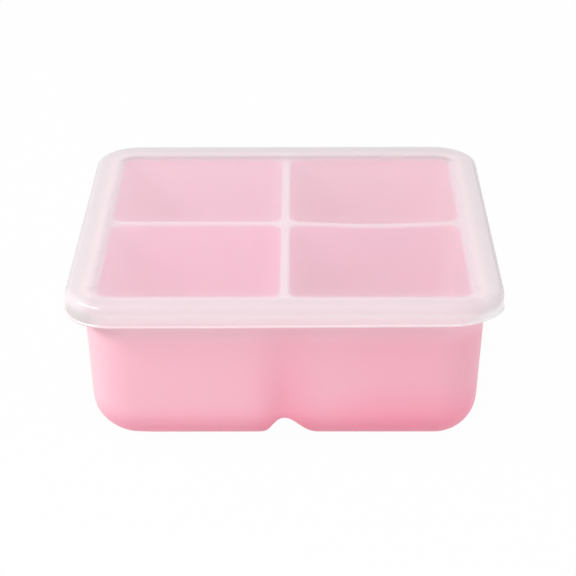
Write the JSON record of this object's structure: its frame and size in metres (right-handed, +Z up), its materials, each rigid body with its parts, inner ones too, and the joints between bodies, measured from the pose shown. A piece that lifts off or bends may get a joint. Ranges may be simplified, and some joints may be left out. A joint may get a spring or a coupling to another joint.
{
  "type": "baby food freezer tray with lid",
  "caption": "Square soft freezer tray with a grid of deep portion cups, round-edged feet split by a cross channel underneath, and a frosted lid whose short skirt drops over the rim.",
  "frame": {"origin": "on the surface the tray stands on, under the middle of the tray", "axes": "+Z up, out of the cups; the front faces -Y"},
  "size_m": [0.1364, 0.1364, 0.0526],
  "materials": {
    "tray_silicone": "soft matte pink silicone, slightly translucent at its edges",
    "lid_frosted": "frosted translucent soft plastic with a satin surface"
  },
  "bodies": {
    "tray": {"tray": "tray_silicone"},
    "lid": {"lid": "lid_frosted"}
  },
  "joints": [
    {"name": "lid_lift", "type": "slide", "parent": "tray", "child": "lid", "axis": [0, 0, 1], "range_m": [0, 0.06]}
  ]
}
